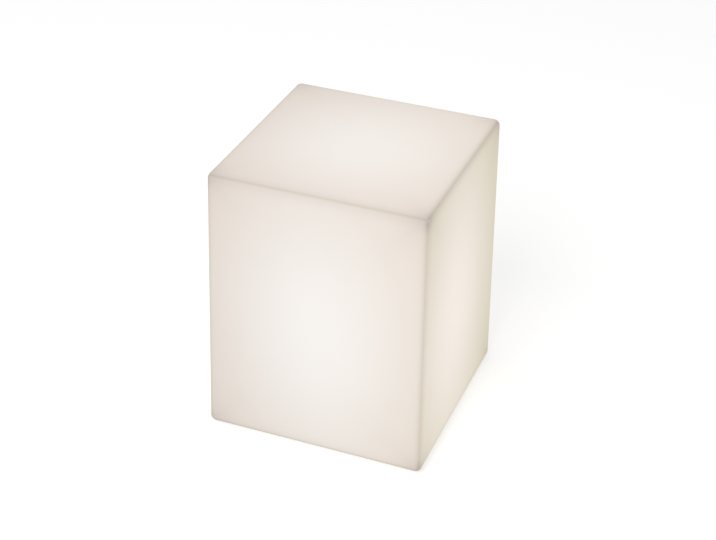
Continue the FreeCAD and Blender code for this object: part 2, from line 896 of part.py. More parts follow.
def make_dome():
    """A round flange and a blown cap, revolved from one profile."""
    top_z = dome_z + dome_flange_thickness
    inner = dome_radius - dome_wall
    outside = dome_arc(dome_radius, dome_height, top_z)
    inside = dome_arc(inner, dome_height - dome_wall, top_z)
    corners = [
        Vector(inner, 0, top_z),
        Vector(inner, 0, dome_z),
        Vector(dome_flange_radius, 0, dome_z),
        Vector(dome_flange_radius, 0, top_z),
        Vector(dome_radius, 0, top_z),
    ]
    edges = [Part.LineSegment(a, b).toShape() for a, b in zip(corners, corners[1:])]
    crown = Part.LineSegment(Vector(0, 0, top_z + dome_height), Vector(0, 0, top_z + dome_height - dome_wall))
    edges += [outside, crown.toShape(), inside]
    profile = Part.Face(Part.Wire(Part.sortEdges(edges)[0]))
    dome = profile.revolve(Vector(0, 0, 0), Vector(0, 0, 1), 360)
    return dome.cut(small_screw_holes(dome_spots, dome_z, dome_flange_thickness))


def make_dome_gasket():
    inner = dome_radius - dome_wall
    gasket = tube(dome_flange_radius, inner, plate_top_z, dome_gasket_thickness)
    return gasket.cut(small_screw_holes(dome_spots, plate_top_z, dome_gasket_thickness))


def make_grommet():
    """A rubber ring that sits in the plate's hole and keeps the lead off its edge."""
    waist = grommet_waist_radius - seat_gap
    rim = grommet_waist_radius + grommet_rim
    bore = lead_radius + grommet_play
    overhang = (grommet_height - plate_thickness) / 2
    profile = [
        (bore, plate_z - overhang),
        (rim, plate_z - overhang),
        (rim, plate_z),
        (waist, plate_z),
        (waist, plate_top_z),
        (rim, plate_top_z),
        (rim, plate_top_z + overhang),
        (bore, plate_top_z + overhang),
    ]
    return turned(profile, 0, -grommet_circle)


# Leads


def make_battery_lead():
    x, y = header_spots()["battery"]
    top = board_top_z + header_height
    tab_x = -cell_length / 2 - cell_tab_thickness
    swing_x = tab_x - lead_side_swing
    points = [
        (x, y, top),
        (x, y, top + lead_rise),
        (swing_x, cell_rows[0], cell_z + lead_rise),
        (swing_x, cell_rows[0], cell_z),
        (tab_x, cell_rows[0], cell_z),
    ]
    return lead(points, "battery lead")


def make_lamp_lead():
    x, y = header_spots()["lamp"]
    top = board_top_z + header_height
    pad_y = -lamp_board_radius + lamp_pad_inset
    crest = lamp_board_z + lamp_lead_crest
    points = [
        (x, y, top),
        (x, y, top + lamp_lead_rise),
        (0, -grommet_circle, plate_z - lamp_lead_drop),
        (0, -grommet_circle, crest),
        (0, pad_y, crest),
        (0, pad_y, lamp_board_z),
    ]
    return lead(points, "lamp lead")


def make_socket_lead():
    x, y = header_spots()["socket"]
    top = board_top_z + header_height
    tag_top = socket_tail_z + socket_tail_length + socket_tag_length
    crest = max(top, tag_top) + lead_rise
    points = [(x, y, top), (x, y, crest), (socket_x, y, crest), (socket_x, y, tag_top)]
    return lead(points, "socket lead")


def make_all():
    nodes = {
        "shade_shell": make_shell(),
        "flange_inserts": [make_insert(x, y, well_roof_z) for x, y in flange_spots],
        "foot_inserts": [make_insert(x, y, shell_z + foot_pocket_depth) for x, y in foot_spots],
        "foot_screws": [machine_screw(x, y, foot_screw_sink) for x, y in foot_spots],
        "flange_screws": [machine_screw(x, y, flange_z + flange_sink) for x, y in flange_spots],
        "base_pan": make_pan(),
        "pan_gasket": make_pan_gasket(),
        "button_cap": make_button(),
        "button_bezel": make_button_bezel(),
        "button_seal": make_button_seal(),
        "switch_plunger": make_switch_plunger(),
        "push_switch": make_switch(),
        "indicator_lens": make_indicator(),
        "charge_socket": make_socket(),
        "socket_pin": make_socket_pin(),
        "socket_seal": make_socket_seal(),
        "socket_nut": make_socket_nut(),
        "socket_cap": make_socket_cap(),
        "cap_anchor": make_cap_anchor(),
        "control_board": make_board(),
        "board_components": make_board_parts(),
        "board_screws": [small_screw(x, y, board_top_z) for x, y in board_spots],
        "battery_cells": [make_cell(y) for y in cell_rows],
        "cell_tabs": make_cell_tabs(),
        "battery_pad": make_battery_pad(),
        "battery_clamp": make_clamp(),
        "clamp_screws": [small_screw(x, y, clamp_foot_z + clamp_thickness) for x, y in clamp_spots],
        "rim_gasket": make_rim_gasket(),
        "heat_sink_plate": make_plate(),
        "lamp_board": make_lamp_board(),
        "light_emitters": make_emitters(),
        "lamp_board_screws": [
            small_screw(x, y, lamp_board_z, lamp_screw_length) for x, y in lamp_screw_spots
        ],
        "light_dome": make_dome(),
        "dome_gasket": make_dome_gasket(),
        "dome_screws": [
            small_screw(x, y, dome_z + dome_flange_thickness, dome_screw_length) for x, y in dome_spots
        ],
        "cable_grommet": make_grommet(),
        "battery_lead": make_battery_lead(),
        "lamp_lead": make_lamp_lead(),
        "socket_lead": make_socket_lead(),
    }
    for name, (x, y) in zip(foot_names, foot_spots):
        nodes[name] = make_foot(x, y)
    return nodes


def main():
    os.makedirs("parts", exist_ok=True)
    for name, made in make_all().items():
        shape = Part.makeCompound(made) if isinstance(made, list) else made
        if not shape.isValid() or any(solid.Volume <= 0 for solid in shape.Solids):
            print("NOT SOUND:", name)
        shape.exportStep(os.path.join("parts", name + ".step"))
        print(name, len(shape.Solids), "solids, volume %.0f" % shape.Volume)


main()
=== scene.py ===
import json
import math

import bmesh
import bpy
from mathutils import Matrix, Vector


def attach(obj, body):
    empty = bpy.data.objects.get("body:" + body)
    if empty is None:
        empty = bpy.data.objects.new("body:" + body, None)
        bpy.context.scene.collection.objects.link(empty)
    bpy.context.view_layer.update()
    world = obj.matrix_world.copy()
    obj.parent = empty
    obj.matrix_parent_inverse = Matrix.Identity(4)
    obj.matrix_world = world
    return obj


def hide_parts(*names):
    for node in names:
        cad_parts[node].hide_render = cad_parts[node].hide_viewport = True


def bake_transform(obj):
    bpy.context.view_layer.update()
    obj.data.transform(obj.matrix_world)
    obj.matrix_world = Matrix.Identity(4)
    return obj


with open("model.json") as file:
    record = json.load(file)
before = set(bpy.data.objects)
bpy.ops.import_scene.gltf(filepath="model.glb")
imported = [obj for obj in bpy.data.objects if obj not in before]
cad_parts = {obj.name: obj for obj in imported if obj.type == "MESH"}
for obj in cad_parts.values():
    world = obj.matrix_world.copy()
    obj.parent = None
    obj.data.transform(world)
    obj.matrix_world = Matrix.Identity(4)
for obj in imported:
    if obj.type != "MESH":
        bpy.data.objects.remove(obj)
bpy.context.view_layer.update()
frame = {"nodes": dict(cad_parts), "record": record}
cadNodes = frame["nodes"]
print("frame loaded:", len(cadNodes), "nodes")


# small helpers for meshes

samePoint = 1e-6  # metres within which two points are one


def toObject(name, bm, smoothAngle=35):
    mesh = bpy.data.meshes.new(name)
    bmesh.ops.recalc_face_normals(bm, faces=bm.faces)
    bm.to_mesh(mesh)
    bm.free()
    mesh.shade_smooth()
    mesh.set_sharp_from_angle(angle=math.radians(smoothAngle))
    piece = bpy.data.objects.new(name, mesh)
    bpy.context.scene.collection.objects.link(piece)
    return piece


def turnedForm(corners, steps, closed=False, roundSegments=5):
    # corners are (radius, height, rounding) in metres, joined up and spun round the Z axis
    bm = bmesh.new()
    points = [bm.verts.new((radius, 0, height)) for radius, height, rounding in corners]
    for first, second in zip(points, points[1:] + points[:1] * closed):
        bm.edges.new((first, second))
    for point, (radius, height, rounding) in zip(points, corners):
        if rounding:
            bmesh.ops.bevel(bm, geom=[point], offset=rounding, segments=roundSegments, profile=0.5,
                            affect="VERTICES", material=-1)
    bmesh.ops.spin(bm, geom=bm.verts[:] + bm.edges[:], cent=(0, 0, 0), axis=(0, 0, 1), dvec=(0, 0, 0),
                   angle=math.tau, steps=steps, use_merge=True, use_duplicate=False)
    bmesh.ops.remove_doubles(bm, verts=bm.verts, dist=samePoint)
    bmesh.ops.recalc_face_normals(bm, faces=bm.faces)
    return inOrder(bm)


def inOrder(bm):
    # some operators leave edges and faces in another order in each run, so they are sorted by their points
    bm.verts.index_update()
    for items in (bm.edges, bm.faces):
        ranked = sorted(items, key=lambda item: sorted(v.index for v in item.verts))
        rank = {item: n for n, item in enumerate(ranked)}
        items.sort(key=rank.get)
        items.index_update()
    return bm


def slabForm(low, high, rounding=0, segments=4):
    # an upright box between two corners, with its upright edges rounded
    bm = bmesh.new()
    bmesh.ops.create_cube(bm, size=1)
    low, high = Vector(low), Vector(high)
    bmesh.ops.scale(bm, verts=bm.verts, vec=high - low)
    bmesh.ops.translate(bm, verts=bm.verts, vec=(low + high) / 2)
    if rounding:
        upright = [e for e in bm.edges if abs((e.verts[0].co - e.verts[1].co).z) > samePoint]
        bmesh.ops.bevel(bm, geom=upright, offset=rounding, segments=segments, profile=0.5,
                        affect="EDGES", material=-1)
    return bm


def shifted(bm, x, y, z=0):
    bmesh.ops.translate(bm, verts=bm.verts, vec=(x, y, z))
    return bm


def combined(forms):
    # several forms as one, side by side
    whole = bmesh.new()
    for bm in forms:
        mesh = bpy.data.meshes.new("part")
        bm.to_mesh(mesh)
        bm.free()
        whole.from_mesh(mesh)
        bpy.data.meshes.remove(mesh)
    return whole


def carved(target, operation, cutter):
    # the first form joined with the second, or cut by it
    body = toObject("body", target)
    tool = toObject("tool", cutter)
    step = body.modifiers.new("step", "BOOLEAN")
    step.object = tool
    step.operation = operation
    step.solver = "EXACT"
    bpy.context.view_layer.update()
    finished = body.evaluated_get(bpy.context.evaluated_depsgraph_get()).to_mesh()
    bm = bmesh.new()
    bm.from_mesh(finished)
    bpy.data.objects.remove(tool)
    bpy.data.objects.remove(body)
    bmesh.ops.remove_doubles(bm, verts=bm.verts, dist=samePoint)
    return bm


# small helpers for materials

def isSocket(value):
    return isinstance(value, bpy.types.NodeSocket)


def place(tree, kind, settings=None, **sockets):
    node = tree.nodes.new(kind)
    for key, value in (settings or {}).items():
        setattr(node, key, value)
    for key, value in sockets.items():
        socket = node.inputs[key.replace("_", " ")]
        if isSocket(value):
            tree.links.new(value, socket)
        else:
            socket.default_value = value
    return node


def compute(tree, operation, *values):
    node = tree.nodes.new("ShaderNodeMath")
    node.operation = operation
    for socket, value in zip(node.inputs, values):
        if isSocket(value):
            tree.links.new(value, socket)
        else:
            socket.default_value = value
    return node.outputs[0]


def smoothStep(tree, value, low, high):
    return place(tree, "ShaderNodeMapRange", {"interpolation_type": "SMOOTHSTEP"}, Value=value,
                 From_Min=low, From_Max=high).outputs[0]


def squareSum(tree, first, second):
    return compute(tree, "ADD", compute(tree, "POWER", first, 2.0), compute(tree, "POWER", second, 2.0))


def blended(tree, factor, first, second):
    return compute(tree, "MULTIPLY_ADD", factor, compute(tree, "SUBTRACT", second, first), first)


def newGroup(name, inputs, outputs):
    group = bpy.data.node_groups.new(name, "ShaderNodeTree")
    for label, value in inputs.items():
        kind = "NodeSocketColor" if isinstance(value, tuple) else "NodeSocketFloat"
        group.interface.new_socket(name=label, in_out="INPUT", socket_type=kind).default_value = value
    for label, kind in outputs.items():
        group.interface.new_socket(name=label, in_out="OUTPUT", socket_type=kind)
    return group, group.nodes.new("NodeGroupInput").outputs, group.nodes.new("NodeGroupOutput").inputs


def blendColours(tree, mode, factor, first, second):
    node = tree.nodes.new("ShaderNodeMix")
    node.data_type = "RGBA"
    node.blend_type = mode
    node.clamp_factor = True
    for socket, value in ((node.inputs[0], factor), (node.inputs[6], first), (node.inputs[7], second)):
        if isSocket(value):
            tree.links.new(value, socket)
        else:
            socket.default_value = value
    return node.outputs[2]


# surface effects that several materials share

perMetre = 1000.0  # millimetres in a metre

grainSettings = {
    "grainDetail": 3.0, "grainRoughness": 0.6, "cloudDetail": 4.0, "cloudRoughness": 0.55,
    "rubTurn": (0.3, 0.2, 0.6), "rubStretch": (1.0, 3.2, 1.6),  # the rubbed patches are streaks
    "rubDetail": 6.0, "rubRoughness": 0.68, "rubDistortion": 0.8, "rubFrom": 0.54, "rubTo": 0.70,
    "rubPaler": 0.10, "rubRougher": 0.12,
}


def makeMouldGrain():
    # a fine grain, broad cloudiness and rubbed, slightly paler patches, as moulded plastic and rubber have
    s = grainSettings
    group, given, result = newGroup(
        "mouldGrain",
        {"Colour": (0.5, 0.5, 0.5, 1), "Grain Size": 1.0, "Cloud Size": 60.0, "Contrast": 0.06,
         "Roughness": 0.5, "Roughness Spread": 0.1, "Rubbing": 0.0},
        {"Colour": "NodeSocketColor", "Roughness": "NodeSocketFloat", "Height": "NodeSocketFloat"},
    )
    where = place(group, "ShaderNodeTexCoord").outputs["Object"]
    grainScale = compute(group, "DIVIDE", perMetre, given["Grain Size"])
    grain = place(group, "ShaderNodeTexNoise", Vector=where, Scale=grainScale, Detail=s["grainDetail"],
                  Roughness=s["grainRoughness"]).outputs["Fac"]
    cloudScale = compute(group, "DIVIDE", perMetre, given["Cloud Size"])
    cloud = place(group, "ShaderNodeTexNoise", Vector=where, Scale=cloudScale, Detail=s["cloudDetail"],
                  Roughness=s["cloudRoughness"]).outputs["Fac"]
    streaked = place(group, "ShaderNodeMapping", Vector=where, Rotation=s["rubTurn"],
                     Scale=s["rubStretch"]).outputs[0]
    rubbed = place(group, "ShaderNodeTexNoise", Vector=streaked, Scale=cloudScale, Detail=s["rubDetail"],
                   Roughness=s["rubRoughness"], Distortion=s["rubDistortion"]).outputs["Fac"]
    rubbed = smoothStep(group, rubbed, s["rubFrom"], s["rubTo"])
    rubbed = compute(group, "MULTIPLY", rubbed, given["Rubbing"])
    offset = compute(group, "SUBTRACT", compute(group, "ADD", grain, cloud), 1.0)
    shade = compute(group, "MULTIPLY_ADD", offset, given["Contrast"], 1.0)
    tint = place(group, "ShaderNodeCombineColor", Red=shade, Green=shade, Blue=shade).outputs[0]
    plain = blendColours(group, "MULTIPLY", 1.0, given["Colour"], tint)
    paler = blendColours(group, "SCREEN", 1.0, plain, (s["rubPaler"],) * 3 + (1,))
    group.links.new(blendColours(group, "MIX", rubbed, plain, paler), result["Colour"])
    rough = compute(group, "MULTIPLY_ADD", offset, given["Roughness Spread"], given["Roughness"])
    group.links.new(compute(group, "MULTIPLY_ADD", rubbed, s["rubRougher"], rough), result["Roughness"])
    group.links.new(grain, result["Height"])
    return group


toolSettings = {"stretch": (0.06, 1.0, 1.0), "lineDetail": 2.0, "stainScale": 90.0, "stainDetail": 5.0}


def makeToolMarks():
    # fine lines along one way of the metal with a slight stain, as turned and rolled metal has
    s = toolSettings
    group, given, result = newGroup(
        "toolMarks",
        {"Colour": (0.7, 0.7, 0.7, 1), "Line Pitch": 0.4, "Contrast": 0.1, "Roughness": 0.3,
         "Roughness Spread": 0.12},
        {"Colour": "NodeSocketColor", "Roughness": "NodeSocketFloat", "Height": "NodeSocketFloat"},
    )
    where = place(group, "ShaderNodeTexCoord").outputs["Object"]
    stretched = place(group, "ShaderNodeMapping", Vector=where, Scale=s["stretch"]).outputs[0]
    pitch = compute(group, "DIVIDE", perMetre, given["Line Pitch"])
    lines = place(group, "ShaderNodeTexNoise", Vector=stretched, Scale=pitch,
                  Detail=s["lineDetail"]).outputs["Fac"]
    stain = place(group, "ShaderNodeTexNoise", Vector=where, Scale=s["stainScale"],
                  Detail=s["stainDetail"]).outputs["Fac"]
    offset = compute(group, "SUBTRACT", compute(group, "ADD", lines, stain), 1.0)
    shade = compute(group, "MULTIPLY_ADD", offset, given["Contrast"], 1.0)
    tint = place(group, "ShaderNodeCombineColor", Red=shade, Green=shade, Blue=shade).outputs[0]
    group.links.new(blendColours(group, "MULTIPLY", 1.0, given["Colour"], tint), result["Colour"])
    group.links.new(compute(group, "MULTIPLY_ADD", offset, given["Roughness Spread"], given["Roughness"]),
                    result["Roughness"])
    group.links.new(lines, result["Height"])
    return group


shellGlowSettings = {
    "halfBase": 0.178, "halfTop": 0.172,  # half widths at the bottom and the top
    "bottom": 0.004, "height": 0.446, "faceBlend": 0.006,
    "lampToWall": 0.25,  # sets how broad the bright pool on a wall is
    "falloff": -1.5,  # how a small lamp's light weakens over a flat wall
    "poolHeight": 0.217, "poolStretch": 0.63,
    "sidePoolForward": 0.032,  # the pools on the left and right walls lie nearer the front
    "endPool": 0.30, "topStrength": 0.86, "bottomStrength": 0.62,  # the pools on the top and the bottom
    "evenGlow": (0.313, 0.220, 0.100),  # the even share of the glow
    "directGlow": (0.254, 0.340, 0.407),  # the share that peaks in the pools
    "sideEven": (0.83, 1.02, 0.61),  # the left and right walls against the front and back ones
    "sideDirect": (1.35, 0.98, 1.04),
    "gainRight": 0.069,  # slightly brighter towards the right
    "edgeShade": 0.30, "edgeStart": 0.0029, "edgeWidth": 0.0036,  # a darker band along the edges
    "uprightEdges": 0.70, "uprightFrom": 0.008, "uprightTo": 0.030,  # which is less on the upright ones
    "rimShade": 0.06, "rimWidth": 0.037,  # and a slower fall towards the top and bottom edges
    "cornerShade": 0.30, "cornerStart": 0.0042, "cornerWidth": 0.018,
    "wellShade": 0.55, "wellFrom": 0.150, "wellTo": 0.100, "lowFrom": 0.060, "lowTo": 0.030,
    "cloudScale": 14.0, "cloudDetail": 3.0, "cloudRoughness": 0.5,
    "grainScale": 620.0, "grainDetail": 2.0, "grainRoughness": 0.7,
}


def makeShellGlow():
    # how bright the lit shell is at each point of its surface
    s = shellGlowSettings
    group, given, result = newGroup("shellGlow", {"Mottle": 0.02},
                                    {"Colour": "NodeSocketColor", "Edge": "NodeSocketFloat"})

    def poolOf(distanceSquared, reach):
        spread = compute(group, "MULTIPLY_ADD", distanceSquared, 1 / reach ** 2, 1.0)
        return compute(group, "POWER", spread, s["falloff"])

    def nearness(distance, width, start=0.0):
        beyond = compute(group, "MAXIMUM", compute(group, "SUBTRACT", distance, start), 0.0)
        return compute(group, "EXPONENT", compute(group, "DIVIDE", beyond, -width))

    def isShorter(first, second):
        difference = compute(group, "SUBTRACT", second, first)
        return smoothStep(group, difference, -s["faceBlend"], s["faceBlend"])

    where = place(group, "ShaderNodeTexCoord").outputs["Object"]
    split = place(group, "ShaderNodeSeparateXYZ", Vector=where).outputs
    x, y, z = split["X"], split["Y"], split["Z"]
    absX = compute(group, "ABSOLUTE", x)
    absY = compute(group, "ABSOLUTE", y)
    rise = compute(group, "SUBTRACT", z, s["bottom"])
    half = compute(group, "MULTIPLY_ADD", rise, (s["halfTop"] - s["halfBase"]) / s["height"], s["halfBase"])
    fromSide = compute(group, "SUBTRACT", half, absX)
    fromFront = compute(group, "SUBTRACT", half, absY)
    fromWall = compute(group, "MINIMUM", fromSide, fromFront)
    fromTop = compute(group, "SUBTRACT", s["bottom"] + s["height"], z)
    fromEnds = compute(group, "MINIMUM", fromTop, rise)
    fromAxis = squareSum(group, x, y)

    # the bright pool on each wall
    onSide = isShorter(fromSide, fromFront)
    alongSide = compute(group, "ABSOLUTE", compute(group, "ADD", y, s["sidePoolForward"]))
    across = blended(group, onSide, absX, alongSide)
    upDown = compute(group, "MULTIPLY", compute(group, "SUBTRACT", z, s["poolHeight"]), s["poolStretch"])
    wallPool = poolOf(squareSum(group, across, upDown), s["lampToWall"])

    # the broader, weaker pools on the top and, fainter still, on the bottom
    endSlope = (s["topStrength"] - s["bottomStrength"]) / s["height"]
    endStrength = compute(group, "MULTIPLY_ADD", rise, endSlope, s["bottomStrength"])
    endPool = compute(group, "MULTIPLY", poolOf(fromAxis, s["endPool"]), endStrength)
    onEnd = isShorter(fromEnds, fromWall)
    onSide = compute(group, "MULTIPLY", onSide, compute(group, "SUBTRACT", 1.0, onEnd))
    pool = blended(group, onEnd, wallPool, endPool)

    # the distance to the nearest edge is the middle one of the three distances, to a corner the largest
    farWall = compute(group, "MAXIMUM", fromSide, fromFront)
    toEdge = compute(group, "MAXIMUM", fromWall, compute(group, "MINIMUM", farWall, fromEnds))
    toCorner = compute(group, "MAXIMUM", farWall, fromEnds)
    upright = smoothStep(group, fromEnds, s["uprightFrom"], s["uprightTo"])
    nearEdge = compute(group, "MULTIPLY", nearness(toEdge, s["edgeWidth"], s["edgeStart"]),
                       compute(group, "MULTIPLY_ADD", upright, s["uprightEdges"] - 1.0, 1.0))
    nearRim = compute(group, "MULTIPLY", nearness(toEdge, s["rimWidth"]),
                      compute(group, "SUBTRACT", 1.0, upright))
    nearCorner = nearness(toCorner, s["cornerWidth"], s["cornerStart"])
    edgeFactor = compute(group, "MULTIPLY_ADD", nearEdge, -s["edgeShade"], 1.0)
    edgeFactor = compute(group, "MULTIPLY_ADD", nearRim, -s["rimShade"], edgeFactor)
    edgeFactor = compute(group, "MULTIPLY_ADD", nearCorner, -s["cornerShade"], edgeFactor)
    # the edge mask also goes out, to paint shade into the shell's base colour along the edges
    group.links.new(nearEdge, result["Edge"])

    # the well in the underside is darker
    inWell = smoothStep(group, compute(group, "SQRT", fromAxis), s["wellFrom"], s["wellTo"])
    lowDown = smoothStep(group, z, s["lowFrom"], s["lowTo"])
    wellFactor = compute(group, "MULTIPLY_ADD", compute(group, "MULTIPLY", inWell, lowDown),
                         s["wellShade"] - 1.0, 1.0)

    # a slight cloudiness, the fine grain of the moulding and the gain towards the right
    cloud = place(group, "ShaderNodeTexNoise", Vector=where, Scale=s["cloudScale"], Detail=s["cloudDetail"],
                  Roughness=s["cloudRoughness"]).outputs["Fac"]
    grain = place(group, "ShaderNodeTexNoise", Vector=where, Scale=s["grainScale"], Detail=s["grainDetail"],
                  Roughness=s["grainRoughness"]).outputs["Fac"]
    offset = compute(group, "SUBTRACT", compute(group, "ADD", cloud, grain), 1.0)
    mottle = compute(group, "MULTIPLY_ADD", offset, given["Mottle"], 1.0)
    gain = compute(group, "MULTIPLY_ADD", x, s["gainRight"] / s["halfBase"], 1.0)
    factor = compute(group, "MULTIPLY", compute(group, "MULTIPLY", edgeFactor, wellFactor), mottle)
    factor = compute(group, "MULTIPLY", factor, gain)

    channels = []
    for even, direct, evenShare, directShare in zip(s["evenGlow"], s["directGlow"], s["sideEven"],
                                                    s["sideDirect"]):
        steady = compute(group, "MULTIPLY_ADD", onSide, even * (evenShare - 1), even)
        bright = compute(group, "MULTIPLY_ADD", onSide, direct * (directShare - 1), direct)
        level = compute(group, "MULTIPLY_ADD", pool, bright, steady)
        channels.append(compute(group, "MULTIPLY", level, factor))
    colour = place(group, "ShaderNodeCombineColor", Red=channels[0], Green=channels[1], Blue=channels[2])
    group.links.new(colour.outputs[0], result["Colour"])
    return group


mouldGrain = makeMouldGrain()
toolMarks = makeToolMarks()
shellGlow = makeShellGlow()


# materials, one for each slot of the record

moulded = {  # colour, roughness, grain size and cloud size in mm, contrast, bump depth in mm, rubbing
    "housing_plastic": ((0.34, 0.34, 0.33), 0.50, 0.6, 38, 0.18, 0.030, 0.35),
    "button_plastic": ((0.030, 0.030, 0.033), 0.55, 0.4, 12, 0.25, 0.012, 0.20),
    "seal_rubber": ((0.018, 0.018, 0.018), 0.62, 0.7, 20, 0.25, 0.020, 0.10),
    "foot_rubber": ((0.024, 0.024, 0.024), 0.68, 0.8, 18, 0.30, 0.030, 0.45),
    "cap_rubber": ((0.045, 0.045, 0.048), 0.52, 0.5, 14, 0.22, 0.010, 0.20),
    "socket_body": ((0.012, 0.012, 0.012), 0.32, 0.6, 10, 0.25, 0.006, 0.05),
    "component_body": ((0.020, 0.020, 0.022), 0.45, 0.6, 8, 0.30, 0.010, 0.0),
    "pad_foam": ((0.055, 0.055, 0.058), 0.90, 1.2, 15, 0.35, 0.150, 0.0),
    "lead_sleeve": ((0.45, 0.030, 0.022), 0.42, 0.8, 9, 0.15, 0.010, 0.0),
    "cell_wrap": ((0.030, 0.075, 0.24), 0.28, 2.5, 30, 0.12, 0.015, 0.0),
    "circuit_board": ((0.012, 0.085, 0.035), 0.36, 1.4, 9, 0.35, 0.020, 0.0),
    "lamp_board_white": ((0.78, 0.78, 0.76), 0.40, 1.6, 25, 0.05, 0.012, 0.0),
    "dome_plastic": ((0.82, 0.82, 0.80), 0.35, 2.0, 40, 0.04, 0.010, 0.0),
    "emitter_lens": ((0.85, 0.66, 0.16), 0.30, 0.6, 4, 0.12, 0.010, 0.0),
}
metals = {  # colour, roughness, line pitch in mm, contrast
    "bezel_metal": ((0.56, 0.56, 0.55), 0.30, 0.25, 0.10),
    "screw_steel": ((0.55, 0.55, 0.55), 0.28, 0.30, 0.14),
    "insert_brass": ((0.72, 0.50, 0.20), 0.32, 0.35, 0.14),
    "contact_metal": ((0.62, 0.59, 0.53), 0.22, 0.30, 0.12),
    "strip_nickel": ((0.58, 0.56, 0.51), 0.30, 0.40, 0.12),
    "clamp_steel": ((0.50, 0.50, 0.51), 0.40, 0.60, 0.16),
    "plate_metal": ((0.62, 0.63, 0.64), 0.38, 0.70, 0.10),
}


def startMaterial(name):
    material = bpy.data.materials.new(name)
    material.use_nodes = True
    tree = material.node_tree
    tree.nodes.clear()
    shader = tree.nodes.new("ShaderNodeBsdfPrincipled")
    output = tree.nodes.new("ShaderNodeOutputMaterial")
    tree.links.new(shader.outputs[0], output.inputs["Surface"])
    return material, tree, shader


def placeGroup(tree, group, **values):
    node = tree.nodes.new("ShaderNodeGroup")
    node.node_tree = group
    for key, value in values.items():
        node.inputs[key.replace("_", " ")].default_value = value
    return node.outputs


def addBump(tree, shader, height, depth):
    bump = place(tree, "ShaderNodeBump", Height=height, Distance=depth / perMetre)  # depth in mm
    tree.links.new(bump.outputs[0], shader.inputs["Normal"])


def joinLook(tree, shader, look):
    tree.links.new(look["Colour"], shader.inputs["Base Color"])
    tree.links.new(look["Roughness"], shader.inputs["Roughness"])


finishes = {}
roughnessSpread = {"moulded": 0.18, "metal": 0.2}
toolMarkDepth = 0.006  # mm
for name, (colour, roughness, grainSize, cloudSize, contrast, depth, rubbing) in moulded.items():
    material, tree, shader = startMaterial(name)
    look = placeGroup(tree, mouldGrain, Colour=(*colour, 1), Grain_Size=grainSize, Cloud_Size=cloudSize,
                      Contrast=contrast, Roughness=roughness, Roughness_Spread=roughnessSpread["moulded"],
                      Rubbing=rubbing)
    joinLook(tree, shader, look)
    addBump(tree, shader, look["Height"], depth)
    finishes[name] = material
for name, (colour, roughness, pitch, contrast) in metals.items():
    material, tree, shader = startMaterial(name)
    look = placeGroup(tree, toolMarks, Colour=(*colour, 1), Line_Pitch=pitch, Contrast=contrast,
                      Roughness=roughness, Roughness_Spread=roughnessSpread["metal"])
    joinLook(tree, shader, look)
    shader.inputs["Metallic"].default_value = 1.0
    addBump(tree, shader, look["Height"], toolMarkDepth)
    finishes[name] = material

lensFinish = {"colour": (0.86, 0.90, 0.87), "roughness": 0.14, "roughnessSpread": 0.1, "contrast": 0.05,
              "grainSize": 1.5, "cloudSize": 6.0, "transmission": 0.75, "indexOfRefraction": 1.49}
material, tree, shader = startMaterial("lens_plastic")
look = placeGroup(tree, mouldGrain, Colour=(*lensFinish["colour"], 1), Grain_Size=lensFinish["grainSize"],
                  Cloud_Size=lensFinish["cloudSize"], Contrast=lensFinish["contrast"],
                  Roughness=lensFinish["roughness"], Roughness_Spread=lensFinish["roughnessSpread"])
joinLook(tree, shader, look)
shader.inputs["Transmission Weight"].default_value = lensFinish["transmission"]
shader.inputs["IOR"].default_value = lensFinish["indexOfRefraction"]
finishes["lens_plastic"] = material

# the darker colour for the edges is painted shade, mixed into the base colour along the edges
shellFinish = {"colour": (0.39, 0.36, 0.38), "paintedEdgeShade": (0.35, 0.31, 0.29), "roughness": 0.75,
               "roughnessSpread": 0.12, "gloss": 0.25, "contrast": 0.05, "grainSize": 1.6, "cloudSize": 80.0,
               "mottle": 0.03, "grainDepth": 0.05}
material, tree, shader = startMaterial("shell_plastic")
look = placeGroup(tree, mouldGrain, Colour=(*shellFinish["colour"], 1), Grain_Size=shellFinish["grainSize"],
                  Cloud_Size=shellFinish["cloudSize"], Contrast=shellFinish["contrast"],
                  Roughness=shellFinish["roughness"], Roughness_Spread=shellFinish["roughnessSpread"])
glow = placeGroup(tree, shellGlow, Mottle=shellFinish["mottle"])
# painted shade: the base colour is darkened along the edges, following the glow's edge mask
edgeShadedColour = blendColours(tree, "MIX", glow["Edge"], look["Colour"], (*shellFinish["paintedEdgeShade"], 1))
tree.links.new(edgeShadedColour, shader.inputs["Base Color"])
tree.links.new(look["Roughness"], shader.inputs["Roughness"])
tree.links.new(glow["Colour"], shader.inputs["Emission Color"])
shader.inputs["Emission Strength"].default_value = 1.0
shader.inputs["Specular IOR Level"].default_value = shellFinish["gloss"]
addBump(tree, shader, look["Height"], shellFinish["grainDepth"])
finishes["shell_plastic"] = material

slotOf = {part["node"]: part["material_slot"] for part in frame["record"]["subparts"]}
for name, node in cadNodes.items():
    for materialSlot in node.material_slots:
        materialSlot.material = finishes[slotOf[name]]
print("materials:", len(finishes))


def finishPiece(piece, body, slotName, *replaced):
    piece.data.materials.clear()
    piece.data.materials.append(finishes[slotName])
    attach(piece, body)
    if replaced:
        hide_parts(*replaced)


# the shell

shellSizes = {
    "baseWidth": 0.356, "topWidth": 0.344, "bottom": 0.004, "top": 0.450, "wall": 0.004,
    "edgeRadius": 0.010, "edgeSegments": 8, "innerSegments": 4,
    "wellRadius": 0.104, "wellFlare": 0.0025, "wellDepth": 0.030, "roofRound": 0.005, "lipRound": 0.003,
    "panHole": 0.0755, "roundSteps": 128,
    "bossRadius": 0.007, "footBossRadius": 0.017, "bossHeight": 0.013,
    "insertFlats": 0.008, "insertSides": 6, "insertLength": 0.010,
    "footReach": 0.138, "pocketRadius": 0.0124, "pocketDepth": 0.002,
    "flangeScrewCircle": 0.088, "flangeScrews": 6, "firstFlangeScrew": 30,  # the last one in degrees
    "spare": 0.001,  # how far a boss reaches into the wall and a cutter past it
    "smoothAngle": 30,
}


